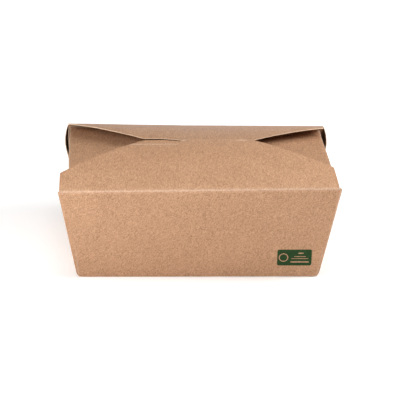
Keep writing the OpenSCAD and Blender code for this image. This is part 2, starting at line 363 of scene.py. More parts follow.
@dataclass
class BoardSheet:
    """Creased board that is made of welded patches.

    Its faces come in two kinds, quads and triangles, and all look to the outside of the board. Sizes
    are in millimetres and the fold's angle in degrees.
    """

    board: float = 0.5
    fold_round: float = 0.35
    cut_round: float = 0.09
    round_steps: int = 2
    fold_angle: float = 38.0
    foot_reach: float = 12.0
    lowest: float = 0.03
    weld_size: float = 0.001
    weld_shift: float = 0.00037
    steadying: float = 0.02
    longest_step: float = 1.8
    patches: list[Patch] = field(default_factory=list)

    def add(self, points: Array, facing: Facing, crease: Array | float = 0.0, tone: float = 0.0,
            pocket_shade: Array | float = 0.0) -> None:
        """Take in one patch.

        Args:
            points: Grid of points, rows by columns by 3.
            facing: Which way its outside looks.
            crease: Strength of the pale crease line at each point, partly whitened board and partly painted
                highlight.
            tone: Painted light and shade: how much lighter the board is painted here, as a share of its
                range from dark to light.
            pocket_shade: Painted shade: 1 at points where the inside of the board is painted dark as the
                shade of a folded corner.
        """
        marks, dark = (np.broadcast_to(values, points.shape[:2]) for values in (crease, pocket_shade))
        self.patches.append(Patch(points, facing, marks, tone, dark))

    def welded(self) -> tuple[Array, Array, Array, Array]:
        """Points that lie on each other become one, and quads that shrink to a triangle become one.

        Returns:
            Points, their crease strengths, painted light tones and painted pocket shade shares as three
            rows, quads and triangles.
        """
        every = np.concatenate([p.points.reshape(-1, 3) for p in self.patches])
        sizes = [p.crease.size for p in self.patches]
        keys = np.round(every / self.weld_size + self.weld_shift).astype(np.int64)
        _, first, index = np.unique(keys, axis=0, return_index=True, return_inverse=True)
        index = index.ravel()
        marks = np.stack([np.zeros(len(first)), np.zeros(len(first)), np.ones(len(first))])
        np.maximum.at(marks[0], index, np.concatenate([p.crease.ravel() for p in self.patches]))
        marks[1, index] = np.repeat([p.tone for p in self.patches], sizes)
        np.minimum.at(marks[2], index, np.concatenate([p.pocket_shade.ravel() for p in self.patches]))
        parts = np.split(index, np.cumsum(sizes)[:-1])
        quad = np.concatenate([p.quads(part) for p, part in zip(self.patches, parts)])
        same = quad == np.roll(quad, -1, axis=1)
        shrunk = same.sum(1) == 1
        corners = (np.argmax(same[shrunk], axis=1)[:, None] + np.array([1, 2, 3])) % 4
        tris = np.take_along_axis(quad[shrunk], corners, axis=1)
        return every[first], marks, quad[same.sum(1) == 0], tris

    @staticmethod
    def normals(points: Array, faces: Array) -> Array:
        """Unit normals: the cross product of a quad's diagonals, or of a triangle's first two edges."""
        corner = points[faces]
        return unit(np.cross(corner[:, -2] - corner[:, 0], corner[:, -1] - corner[:, 1]))

    def offsets(self, points: Array, groups: Sequence[tuple[Array, Array]]) -> Array:
        """Step from the middle of the board to its outside, for a half thickness of one.

        Each step d solves, as nearly as it can, n . d = 1 for the normals n of all faces at its point:
        (sum of n n^T + a little of the identity) d = sum of n.

        Args:
            points: Points of the sheet.
            groups: Pairs of faces and their normals.

        Returns:
            One step for each point.
        """
        matrix = np.tile(np.eye(3) * self.steadying, (len(points), 1, 1))
        total = np.zeros((len(points), 3))
        for faces, normals in groups:
            outer = normals[:, :, None] * normals[:, None, :]
            for corner in faces.T:
                np.add.at(matrix, corner, outer)
                np.add.at(total, corner, normals)
        step = np.linalg.solve(matrix, total[:, :, None])[:, :, 0]
        length = np.linalg.norm(step, axis=1, keepdims=True)
        return step * np.minimum(1.0, self.longest_step / np.maximum(length, TINY))

    def edges(self, name: str, count: int, groups: Sequence[tuple[Array, Array]]) -> tuple[Array, Array]:
        """Cut edges, which have one face, and folds, whose two faces differ by more than fold_angle.

        Args:
            name: Name of the piece, for the error where two patches face opposite ways.
            count: Number of the sheet's points.
            groups: Pairs of faces and their normals.

        Returns:
            Pairs of points of the cut edges, and pairs of points of the folds.
        """
        pairs = np.concatenate([np.stack([faces, np.roll(faces, -1, axis=1)], -1).reshape(-1, 2)
                                for faces, _ in groups])
        normal = np.concatenate([np.repeat(n, faces.shape[1], axis=0) for faces, n in groups])
        if len(np.unique(pairs[:, 0] * count + pairs[:, 1])) != len(pairs):
            raise ValueError(f"{name}: two patches face opposite ways along a fold")
        keys = edge_keys(pairs, count)
        order = np.argsort(keys, kind="stable")
        first = np.flatnonzero(np.diff(keys[order]) == 0)
        single = np.ones(len(keys), bool)
        single[np.concatenate([first, first + 1])] = False
        one, two = order[first], order[first + 1]
        bend = np.degrees(np.arccos(np.clip(np.sum(normal[one] * normal[two], 1), -1.0, 1.0)))
        return pairs[order[single]], pairs[one[bend > self.fold_angle]]

    def weigh(self, mesh: bpy.types.Mesh, flat: Array, foot: Array, seam: Array, rim: Array,
              folds: Array) -> None:
        """Bevel weights of the cut edges and the folds on both skins.

        The weight of a fold grows evenly from the foot of the box to full at foot_reach. Cut edges on
        the seam, a line along X, stay unrounded and sharp, because another piece goes on there.

        Args:
            mesh: Mesh of both skins.
            flat: Points of the sheet before it is bent.
            foot: Corner of the base, for positive x and y.
            seam: A point of the seam.
            rim: Pairs of points of the cut edges.
            folds: Pairs of points of the folds.
        """
        count = len(flat)
        away = np.linalg.norm(np.abs(flat[folds[:, 0]]) - foot, axis=1)
        soft = np.clip(away / self.foot_reach, 0.0, 1.0)
        plain = np.linalg.norm(flat[rim][..., 1:] - seam[1:], axis=-1).sum(1) < self.weld_size
        thin = np.where(plain, 0.0, self.cut_round / self.fold_round)
        keys = edge_keys(np.concatenate([rim, rim + count, folds, folds + count]), 2 * count)
        order = np.argsort(keys)
        keys, weights = keys[order], np.concatenate([thin, thin, soft, soft])[order]
        edge = np.empty(len(mesh.edges) * 2, np.int32)
        mesh.edges.foreach_get("vertices", edge)
        mine = edge_keys(edge.reshape(-1, 2).astype(np.int64), 2 * count)
        at = np.clip(np.searchsorted(keys, mine), 0, len(keys) - 1)
        set_attribute(mesh, "bevel_weight_edge", "EDGE", np.where(keys[at] == mine, weights[at], 0.0))
        open_edges = edge_keys(np.concatenate([rim[plain], rim[plain] + count]), 2 * count)
        set_attribute(mesh, "sharp_edge", "EDGE", np.isin(mine, open_edges))

    def piece(self, name: str, folding: HandFolding, seam: Array) -> bpy.types.Object:
        """Board of even thickness on the welded sheet.

        The two skins lie half a thickness to each side of the middle, and a strip closes each cut edge.

        Args:
            name: Name of the piece.
            folding: Bends that the sheet gets first.
            seam: A point of the seam between the carton's two pieces.

        Returns:
            The object, with its edge weights and its attributes: crease, the painted light tone, the
            painted pocket shade, cut and inside.
        """
        flat, marks, quads, tris = self.welded()
        points = folding.apply(flat)
        count = len(points)
        groups = [(faces, self.normals(points, faces)) for faces in (quads, tris)]
        step = self.offsets(points, groups) * self.board / 2
        skins = np.concatenate([points + step, points - step])
        skins[:, 2] = np.maximum(skins[:, 2], self.lowest)
        rim, folds = self.edges(name, count, groups)
        strips = np.concatenate([rim[:, ::-1], rim + count], 1)
        sets = (quads, tris, quads[:, ::-1] + count, tris[:, ::-1] + count, strips)
        mesh = bpy.data.meshes.new(name)
        mesh.from_pydata((skins * MM).tolist(), [], [face for faces in sets for face in faces.tolist()])

        sheet_faces = len(quads) + len(tris)
        kind = np.repeat([0, 1, 2], [sheet_faces, sheet_faces, len(strips)])
        # The crease attribute marks pale fold lines: partly whitened board, partly painted highlight.
        set_attribute(mesh, "crease", "POINT", np.tile(marks[0], 2))
        # Cut edges are painted pale: partly the board's paler core, partly painted highlight.
        set_attribute(mesh, "cut", "FACE", (kind == 2) * 1.0)
        # Painted light and shade: each patch's tone, lighter where light falls more on it and darker where
        # less.
        set_attribute(mesh, "tone", "POINT", np.tile(marks[1], 2))
        set_attribute(mesh, "inside", "FACE", (kind == 1) * 1.0)
        # Painted shade on the inside skin in the pockets of the web corners.
        set_attribute(mesh, "pocket_shade", "POINT", np.concatenate([np.zeros(count), marks[2]]))
        self.weigh(mesh, flat, folding.sizes.long_foot(1, 1), seam, rim, folds)
        mesh.shade_smooth()
        mesh.update()

        made = in_scene(name, mesh)
        bevel = made.modifiers.new("edge_rounding", "BEVEL")
        bevel.limit_method = "WEIGHT"
        bevel.width = self.fold_round * MM
        bevel.segments = self.round_steps
        bevel.use_clamp_overlap = False
        bevel.harden_normals = True
        return made


@dataclass(frozen=True)
class SideCut:
    """Cut edge of a wide flap on one side: its x at the crease, at the shoulder's corner and at the notch.

    The shoulder is the distance of its corner from the crease.
    """

    crease_x: float
    corner_x: float
    shoulder: float
    notch_x: float


@dataclass(frozen=True)
class FlapOutline:
    """Left and right edges of a wide flap, as functions of the distance to the ridge."""

    sizes: CartonSizes
    left: SideCut
    right: SideCut
    arc_steps: int = 10
    arc_reach: float = 1.9
    arc_spacing: float = 0.35
    ridge_spacing: float = 2.2
    crease_spacing: float = 2.0
    first_row: float = 1.6

    def edge(self, side: SideCut, distance: Array) -> Array:
        """x of one edge at some distances from the ridge.

        The edge runs straight from the notch to the shoulder's corner and straight on to the crease.
        A circle that touches both lines rounds the corner.

        Args:
            side: The edge.
            distance: Distances from the ridge.

        Returns:
            x at those distances.
        """
        crease, radius = self.sizes.rim_width / 2, self.sizes.shoulder_radius
        corner = np.array([side.corner_x, crease - side.shoulder])
        notch, end = np.array([side.notch_x, 0.0]), np.array([side.crease_x, crease])
        u, v = unit(notch - corner), unit(end - corner)
        half = math.acos(float(np.clip(u @ v, -1.0, 1.0))) / 2
        centre = corner + unit(u + v) * radius / math.sin(half)
        first, last = (corner + w * radius / math.tan(half) - centre for w in (u, v))
        share = np.linspace(0.0, 1.0, self.arc_steps + 1)[:, None]
        arc = centre + unit(first * (1.0 - share) + last * share) * radius
        line = np.concatenate([[notch], arc, [end]])
        return np.interp(distance, line[:, 1], line[:, 0])

    def grid_x(self, distance: Array, shares: Array) -> Array:
        """x of a grid: on each row the shares from 0 to 1 go from the left edge to the right edge."""
        return spread(self.edge(self.left, distance), self.edge(self.right, distance), shares)

    def share_at(self, distance: float, x: float) -> float:
        """Share from 0 to 1 at which a row at one distance has the given x."""
        left, right = (float(self.edge(s, np.array(distance))) for s in (self.left, self.right))
        return (x - left) / (right - left)

    def rows(self, nearest: float, *more: float) -> Array:
        """Distances from the ridge for the rows of a flap, close together at the rounded shoulders.

        Args:
            nearest: The smallest distance.
            more: Further distances.

        Returns:
            The distances, from the crease to the ridge.
        """
        s = self.sizes
        corners = sorted(s.rim_width / 2 - side.shoulder for side in (self.left, self.right))
        near, far = corners[0] - self.arc_reach, corners[1] + self.arc_reach
        last = s.rim_width / 2 - s.crease_turn
        return merged(steps(nearest, near, self.ridge_spacing), steps(near, far, self.arc_spacing),
                      steps(far, last - self.first_row, self.crease_spacing), [last], more)[::-1]


@dataclass
class Carton:
    """Sheet of the carton apart from its front flap: base, walls, web corners, end flaps, back flap.

    Spacings, clearances and rows of the walls are shares of their height or length. The rows of an
    end flap and of the tab are in millimetres.
    """

    sizes: CartonSizes
    folding: HandFolding
    front: FlapOutline
    back: FlapOutline
    wall_spacing: float = 0.045
    foot_rows: tuple[float, ...] = (0.0, 0.016, 0.04)
    flap_spacing: float = 0.018
    end_flap_round: int = 11
    tab_round: int = 7
    cut_clear: float = 0.004
    root_clear: float = 0.01
    end_flap_first: float = 1.4
    end_flap_second: float = 4.0
    end_flap_spacing: float = 2.6
    tab_spacing: float = 1.8
    turn_steps: int = 8
    inner_steps: int = 9
    outer_steps: int = 14
    crease_steps: int = 6
    # Strengths of the pale lines at the feet, at the wall ends and on the turns of the web corners: partly
    # whitened board, partly painted highlight.
    edge_mark: float = 0.3
    web_mark: float = 0.4
    # Shares of the height over which the painted pocket shade fades in.
    pocket_shade_rows: Pair = (0.5, 0.8)
    # Painted shade: the end flaps are painted a little darker, for the shade under the wide flaps and their
    # tilt away from the light.
    end_flap_painted_shade: float = -0.03

    @property
    def turn_share(self) -> float:
        """Share of a wall's height at which its rounded top crease starts."""
        return 1.0 - self.sizes.crease_turn / self.sizes.slants[1]

    @property
    def seam_share(self) -> float:
        """Share of the front wall's height at which the front flap's piece takes over."""
        return 1.0 - self.sizes.seam_drop / self.sizes.slants[1]

    @property
    def seam(self) -> Array:
        """A point of the seam between the carton's two pieces."""
        return self.long_wall(-1, [self.seam_share], [0.0])[0, 0]

    @property
    def wall_rows(self) -> Array:
        """Shares of the height for the rows of every wall and web corner."""
        return merged(self.foot_rows, steps(self.foot_rows[-1], self.seam_share, self.wall_spacing),
                      [self.turn_share, 1.0])

    @property
    def ear_root(self) -> float:
        """x at which the slit between ear and tongue starts, on the ear's side."""
        return self.sizes.lock_x - self.sizes.lock_clear - self.sizes.slit_slant

    def outline(self, sy: int) -> FlapOutline:
        """Outline of the front flap for -1, of the back flap for 1."""
        return self.front if sy < 0 else self.back

    def flap_shares(self, sy: int) -> Array:
        """Shares from 0 to 1 along a wide flap.

        They are even, with one more at each cut of the lock and above each end of the base.

        Args:
            sy: Side of the flap.

        Returns:
            The shares.
        """
        s = self.sizes
        cuts = [self.front.share_at(s.ear_length, self.ear_root),
                self.front.share_at(s.ear_length, self.ear_root + s.lock_clear),
                self.back.share_at(0.0, s.lock_x + s.lock_clear)]
        base_x = s.end_foot(1, 1)[0] / (s.base_length / 2) * s.rim_length / 2
        extra = cuts + [self.outline(sy).share_at(s.rim_width / 2, x) for x in (-base_x, base_x)]
        even = steps(0.0, 1.0, self.flap_spacing)
        clear = np.min(np.abs(even[:, None] - np.array(extra)), axis=1) > self.cut_clear
        return merged(even[clear | (even < NEAR) | (even > 1.0 - NEAR)], extra)

    def crease_columns(self, sy: int) -> Array:
        """Shares from -1 to 1 along a long wall where its flap is creased on."""
        ends = (np.array([side.crease_x]) for side in (self.outline(sy).left, self.outline(sy).right))
        return spread(*ends, self.flap_shares(sy))[0] / (self.sizes.rim_length / 2)

    @property
    def root_share(self) -> float:
        """Share of an end wall's crease that its flap takes up."""
        return 1.0 - self.sizes.end_flap_relief / (self.sizes.rim_width / 2 - self.sizes.corner_slot)

    @property
    def end_columns(self) -> Array:
        """Shares from -1 to 1 along an end wall, with one at each end of its flap."""
        even, roots = steps(-1.0, 1.0, self.wall_spacing), [-self.root_share, self.root_share]
        return merged(even[np.abs(np.abs(even) - self.root_share) > self.root_clear], roots)

    @property
    def root_columns(self) -> Array:
        """The columns of an end wall that its flap is creased on to."""
        return self.end_columns[np.abs(self.end_columns) <= self.root_share + NEAR]

    @staticmethod
    def ruled(corners: Sequence[Array], rows: Sequence[float], columns: Sequence[float]) -> Array:
        """Points of a flat wall: straight lines from its foot to its top.

        Args:
            corners: Its two lower and then its two upper corners.
            rows: Shares of the height, from 0 to 1.
            columns: Shares along the wall, from -1 to 1.

        Returns:
            Grid of points.
        """
        share = (np.asarray(columns)[None, :, None] + 1.0) / 2.0
        foot, top = (a * (1.0 - share) + b * share for a, b in (corners[:2], corners[2:]))
        return foot + (top - foot) * np.asarray(rows)[:, None, None]

    def long_wall(self, sy: int, rows: Sequence[float], columns: Sequence[float]) -> Array:
        """Points of the front or the back wall, with columns from left to right."""
        s = self.sizes
        return self.ruled([at(sx, sy) for at in (s.long_foot, s.long_top) for sx in (-1, 1)], rows, columns)

    def end_wall(self, sx: int, rows: Sequence[float], columns: Sequence[float]) -> Array:
        """Points of an end wall, with columns from front to back."""
        s = self.sizes
        return self.ruled([at(sx, sy) for at in (s.end_foot, s.end_top) for sy in (-1, 1)], rows, columns)

    @property
    def crease_marks(self) -> Array:
        """Pale band over a rounded fold, partly whitened board and partly painted highlight: 0.15 + 0.85
        sin^2 of pi t^0.6, its top near the wall.
        """
        t = np.linspace(0.0, 1.0, self.crease_steps + 1)
        return 0.15 + 0.85 * np.sin(t ** 0.6 * math.pi) ** 2

    @property
    def foot_marks(self) -> Array:
        """Crease strength of a wall's rows: a little at its foot."""
        return np.where(self.wall_rows < NEAR, self.edge_mark, 0.0)[:, None]

    @property
    def turn_marks(self) -> Array:
        """Crease strength of a wall's rows: a little at its foot and where its top crease starts."""
        at_turn = np.abs(self.wall_rows - self.turn_share) < NEAR
        return self.foot_marks + np.where(at_turn, self.crease_marks[0], 0.0)[:, None]

    def creased(self, wall: Array, flap: Array) -> tuple[Array, Array]:
        """Flap with a rounded fold before it, as wide as the flap.

        Each column of the fold is a quadratic curve: (1 - t)^2 start + 2 t (1 - t) corner + t^2 end.

        Args:
            wall: Two rows of the wall, at the start of the fold and where a sharp fold would be.
            flap: Grid of the flap. Its first row is the end of the fold.

        Returns:
            Grid of points, and the crease strength of each row as a column.
        """
        t = np.linspace(0.0, 1.0, self.crease_steps + 1)[:, None, None]
        fold = (1.0 - t) ** 2 * wall[0] + 2.0 * t * (1.0 - t) * wall[1] + t ** 2 * flap[0]
        marks = np.concatenate([self.crease_marks, np.zeros(len(flap) - 1)])
        return np.concatenate([fold, flap[1:]]), marks[:, None]

    def arch(self, sy: int, rise: Array | float, x: Array, distance: Array) -> Array:
        """Points on a wide flap's arch, for the x of a grid and its rows' distances from the ridge."""
        y = np.broadcast_to(sy * distance[:, None], x.shape)
        return np.stack([x, y, self.sizes.rim_height + self.sizes.arch_height(rise, y)], -1)

    @staticmethod
    def ply(start: Array, stop: Array, belly: Array, count: int) -> Array:
        """Cut edge of one ply without its first point: a straight line plus belly times 4 s (1 - s)."""
        share = np.linspace(0.0, 1.0, count + 1)[1:, None]
        return start + (stop - start) * share + belly * 4.0 * share * (1.0 - share)

    def web_corner(self, sx: int, sy: int) -> tuple[Array, Array]:
        """Points of a doubled web corner, from the end wall's edge to the long wall's edge.

        The cut edge at the top is a half circle round the end wall's corner, an inner ply, a half
        circle round the tip and an outer ply. Each column is the straight line from the foot to it.

        Args:
            sx: Side of the end wall.
            sy: Side of the long wall.

        Returns:
            Grid of points, and the crease strength of each column as a row.
        """
        s = self.sizes
        out, depth = np.array([sx, 0.0, 0.0]), np.array([0.0, sy, 0.0])
        radius = s.ply_pitch / 2
        turn = np.linspace(0.0, math.pi, self.turn_steps + 1)[:, None]
        half_turn, swell = out * radius - np.cos(turn) * radius * out, np.sin(turn) * radius
        top, tip, wall_top = s.end_top(sx, sy), s.web_tip(sx, sy), s.long_top(sx, sy)
        start, inner_tip = top + out * s.ply_pitch, tip - out * radius
        edge = np.concatenate([
            top + half_turn + swell * depth,
            self.ply(start, inner_tip, out * s.inner_belly, self.inner_steps),
            (inner_tip + half_turn + swell * unit(inner_tip - start))[1:],
            self.ply(tip + out * radius, wall_top, out * s.web_belly, self.outer_steps)])
        foot, wall_foot = s.end_foot(sx, sy), s.long_foot(sx, sy)
        base = np.concatenate([
            foot + half_turn + swell * depth,
            np.tile(foot + out * s.ply_pitch, (self.inner_steps, 1)),
            (foot + out * s.ply_pitch + half_turn - swell * depth)[1:],
            np.tile(wall_foot, (self.outer_steps, 1))])
        rounds, plies = [self.web_mark] * (self.turn_steps + 1), [self.inner_steps, self.outer_steps]
        flats = [[0.0] * (count - 1) for count in plies]
        crease = np.array([rounds + flats[0] + rounds + flats[1] + [self.edge_mark]])
        return base + (edge - base) * self.wall_rows[:, None, None], crease

    def end_flap(self, sx: int) -> tuple[Array, Array]:
        """Points of an end wall's crease and flap, with columns from front to back.

        The flap is flat. It rises until its free corners lie just under the arch of the wide flaps,
        and its half width goes evenly from the crease to the free edge, where a circle rounds it.

        Args:
            sx: Side of the flap.

        Returns:
            Grid of points, and the crease strength of each row as a column.
        """
        s, columns, length = self.sizes, self.root_columns, self.sizes.end_flap_length
        front, back = s.end_top(sx, -1), s.end_top(sx, 1)
        middle, along = (front + back) / 2, unit(back - front)
        over = float(s.arch_height(self.folding.back_rise, s.end_flap_width / 2))
        rise = math.asin((over - s.board - s.seat_gap + s.end_drop) / length)
        inward = np.array([-sx * along[1], sx * along[0], 0.0])
        ahead = inward * math.cos(rise) + np.array([0.0, 0.0, math.sin(rise)])
        rows = merged([s.crease_turn, s.crease_turn + self.end_flap_first],
                      steps(self.end_flap_second, length - s.end_flap_radius, self.end_flap_spacing),
                      round_rows(length, s.end_flap_radius, self.end_flap_round))
        half = self.root_share * np.linalg.norm(back - front) / 2
        width = half + (s.end_flap_width / 2 - half) * rows / length
        width = width - round_inset(rows, length, s.end_flap_radius)
        beside = (width[:, None] * columns / self.root_share)[..., None]
        flap = middle + along * beside + ahead * rows[:, None, None]
        return self.creased(self.end_wall(sx, [self.turn_share, 1.0], columns), flap)

    def back_flap(self) -> tuple[Array, Array]:
        """Points of the back crease and flap up to the ridge, and the crease strength of each row.

        Returns:
            Grid of points, and the crease strengths as a column.
        """
        distance = self.back.rows(0.0)
        x = self.back.grid_x(distance, self.flap_shares(1))
        flap = self.arch(1, self.folding.back_rise_at(x), x, distance)
        flap[..., 2] += self.folding.back_bulge(x, distance[:, None])
        return self.creased(self.long_wall(1, [self.turn_share, 1.0], self.crease_columns(1)), flap)

    def lock_tab(self) -> Array:
        """Points of the back flap's tab, which goes forward under the front flap.

        Its left edge starts at the lock and its right edge at the notch, and both free corners are
        rounded by the shoulder's radius.

        Returns:
            Grid of points.
        """
        s = self.sizes
        left, right = s.lock_x + s.lock_clear, self.back.right.notch_x
        x = self.back.grid_x(np.array([0.0]), self.flap_shares(1))[0]
        share = (x[x >= left - NEAR] - left) / (right - left)
        down = merged(steps(0.0, s.tab_reach - s.shoulder_radius, self.tab_spacing),
                      round_rows(s.tab_reach, s.shoulder_radius, self.tab_round))
        inset = round_inset(down, s.tab_reach, s.shoulder_radius)
        x = spread(left + inset, right - down - inset, share)
        return self.arch(-1, self.folding.back_rise_at(x), x, down)

    def add_base(self, sheet: BoardSheet) -> None:
        """Add the base, whose columns go on into the long walls.

        Args:
            sheet: Sheet that takes it in.
        """
        s, half_length = self.sizes, self.sizes.base_length / 2
        front_x, back_x = (self.crease_columns(sy)[None, 1:-1] * half_length for sy in (-1, 1))
        share = ((self.end_columns + 1.0) / 2.0)[:, None]
        x = front_x * (1.0 - share) + back_x * share
        y = self.end_columns[:, None] * s.base_width / 2
        sheet.add(np.stack(np.broadcast_arrays(x, y, s.board / 2), -1), Facing.TURNED)

    def add_long_wall(self, sheet: BoardSheet, sy: int) -> None:
        """Add the back wall up to its crease, or the front wall up to the front flap's piece.

        Beside the flap, a strip at each end goes on up to the rim.

        Args:
            sheet: Sheet that takes it in.
            sy: Side of the wall.
        """
        rows, columns, facing = self.wall_rows, self.crease_columns(sy), Facing.of(-sy)
        kept = rows <= (self.seam_share if sy < 0 else self.turn_share) + NEAR
        sheet.add(self.long_wall(sy, rows[kept], columns), facing, self.turn_marks[kept])
        for strip in ([-1.0, columns[0]], [columns[-1], 1.0]):
            side = np.where(np.abs(strip) > 1.0 - NEAR, self.edge_mark, 0.0)
            sheet.add(self.long_wall(sy, rows, strip), facing, np.maximum(self.foot_marks, side))

    def add_end(self, sheet: BoardSheet, sx: int) -> None:
        """Add an end wall with its flap and its two web corners.

        Args:
            sheet: Sheet that takes them in.
            sx: Side of the wall.
        """
        rows, columns, facing = self.wall_rows, self.end_columns, Facing.of(sx)
        kept = rows <= self.turn_share + NEAR
        sheet.add(self.end_wall(sx, rows[kept], self.root_columns), facing, self.turn_marks[kept])
        for side in (-1, 1):
            strip = columns[columns * side >= self.root_share - NEAR]
            sheet.add(self.end_wall(sx, rows, strip), facing, self.foot_marks)
        flap, crease = self.end_flap(sx)
        # The end flap is painted a little darker, as painted shade.
        sheet.add(flap, facing, crease, self.end_flap_painted_shade)
        # The inside of each web corner is painted dark towards the rim: painted shade in its pocket.
        low, high = self.pocket_shade_rows
        for sy in (-1, 1):
            web, crease = self.web_corner(sx, sy)
            dark = smooth((rows - low) / (high - low))[:, None]
            sheet.add(web, Facing.of(sx * sy), crease, pocket_shade=dark)

    def build(self) -> bpy.types.Object:
        """The whole sheet but for the front flap.

        Returns:
            The object, which rides on the box.
        """
        sheet = BoardSheet(board=self.sizes.board)
        self.add_base(sheet)
        for sy in (-1, 1):
            self.add_long_wall(sheet, sy)
        for sx in (-1, 1):
            self.add_end(sheet, sx)
        flap, crease = self.back_flap()
        sheet.add(flap, Facing.TURNED, crease)
        sheet.add(self.lock_tab(), Facing.TURNED)
        piece = sheet.piece("carton_sheet", self.folding, self.seam)
        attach(piece, "box")
        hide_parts("carton")
        return piece


@dataclass
class FrontFlap:
    """Front flap with the top strip of the front wall, its crease, its tongue and its ear."""

    carton: Carton
    ear_gap: Pair = (0.83, 0.15)
    # Strong pale line on the ear's crease: partly whitened board, partly painted highlight of the bent
    # crease.
    ear_crease: float = 1.8
    # Pale marks along the tongue's lap on the ridge row: torn pale board at the slit's end, and a painted
    # highlight along the edge of the lap farther right.
    lap_x: tuple[float, ...] = (-8.5, -7.0, 25.0, 26.5, 29.0, 33.0)
    lap: tuple[float, ...] = (3.0, 0.25, 0.25, 2.6, 2.6, 0.25)
    lap_line: float = 0.01
    slit_rows: tuple[float, ...] = (0.0, 1.0, 2.0)
    slit_spacing: float = 1.5
    tongue_rows: tuple[float, ...] = (0.8, 1.5, 2.0, 2.3)
    tongue_radius: float = 0.8
    # Painted light: the whole front flap is painted a little lighter, as it faces the light more than the
    # end flaps.
    tone: float = 0.10

    def build(self) -> bpy.types.Object:
        """The flap, in three patches: the panel up to the slit's root, the tongue and the ear.

        Returns:
            The object.
        """
        carton, s = self.carton, self.carton.sizes
        sheet = BoardSheet(board=s.board)
        outline, shares = carton.front, carton.flap_shares(-1)
        wall = carton.long_wall(-1, [carton.seam_share, carton.turn_share, 1.0], carton.crease_columns(-1))
        distance = outline.rows(s.ear_length, s.ear_length + 1.0)
        flap = carton.arch(-1, carton.folding.front_rise, outline.grid_x(distance, shares), distance)
        grid, crease = carton.creased(wall[1:], flap)
        grid = np.concatenate([wall[:1], grid])
        marks = np.repeat(np.concatenate([[[0.0]], crease]), len(shares), 1)
        root_x = outline.grid_x(np.array([s.ear_length]), shares)[0]
        is_ear = root_x <= carton.ear_root + NEAR
        marks[-1, is_ear] = self.ear_crease
        sheet.add(grid, Facing.AS_LAID, marks, self.tone)

        ahead = merged(self.slit_rows, steps(self.slit_rows[-1], s.ear_length, self.slit_spacing))
        tongue = self.tongue(root_x[root_x >= carton.ear_root + s.lock_clear - NEAR], ahead)
        # Pale marks on the lap row: torn board near the slit, painted highlight farther right.
        on_lap = np.abs(tongue[..., 1]) < self.lap_line
        wear_and_highlight = np.where(on_lap, np.interp(tongue[..., 0], self.lap_x, self.lap), 0.0)
        sheet.add(tongue, Facing.AS_LAID, wear_and_highlight, self.tone)
        reach = merged(ahead[:-1], [s.ear_length - s.lock_clear])
        fold = np.where(reach < NEAR, self.ear_crease, 0.0)[:, None]
        sheet.add(self.ear(root_x[is_ear], reach), Facing.AS_LAID, fold, self.tone)

        piece = sheet.piece("front_flap_sheet", carton.folding, carton.seam)
        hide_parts("front_flap")
        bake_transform(piece)
        return piece

    def tongue(self, root_x: Array, ahead: Array) -> Array:
        """Points of the flap right of the slit, over the ridge as far as the tongue reaches.

        The left edge goes evenly from the slit's root to the lock, and the right edge follows the
        outline. Past the ridge both edges draw in, the right one at 45 degrees.

        Args:
            root_x: x of the columns where the slit starts.
            ahead: Distances from the slit's root to the rows before the ridge.

        Returns:
            Grid of points.
        """
        carton, s = self.carton, self.carton.sizes
        low = carton.ear_root + s.lock_clear
        over = np.array([*self.tongue_rows, s.tongue_reach])
        inset = round_inset(over, s.tongue_reach, self.tongue_radius)
        left = np.concatenate([low + s.slit_slant * ahead / s.ear_length, low + s.slit_slant + inset])
        side = carton.front.right
        right = np.concatenate([carton.front.edge(side, s.ear_length - ahead), side.notch_x - over - inset])
        x = spread(left, right, (root_x - low) / (root_x[-1] - low))
        return carton.arch(-1, carton.folding.front_rise, x, np.concatenate([s.ear_length - ahead, -over]))

    def ear(self, root_x: Array, reach: Array) -> Array:
        """Points of the ear, a straight panel bent down from its crease.

        Its far edge lies below the back flap by the board and a gap, and the gap narrows evenly from
        the notch to the slit.

        Args:
            root_x: x of the columns at the ear's crease.
            reach: Distances from the ear's crease to the rows.

        Returns:
            Grid of points.
        """
        carton, s = self.carton, self.carton.sizes
        part = (root_x - root_x[0]) / (carton.ear_root - root_x[0])
        left = carton.front.edge(carton.front.left, s.ear_length - reach)
        x = spread(left, carton.ear_root + s.slit_slant * reach / s.ear_length, part)
        y = np.broadcast_to((reach - s.ear_length)[:, None], x.shape)
        root_z = s.rim_height + s.arch_height(carton.folding.front_rise, s.ear_length)
        gap = self.ear_gap[0] + (self.ear_gap[1] - self.ear_gap[0]) * part
        end_z = s.rim_height + carton.folding.back_rise_at(x[-1]) - s.board - gap
        z = root_z + (end_z - root_z) * (reach / reach[-1])[:, None]
        return np.stack([x, y, z], -1)


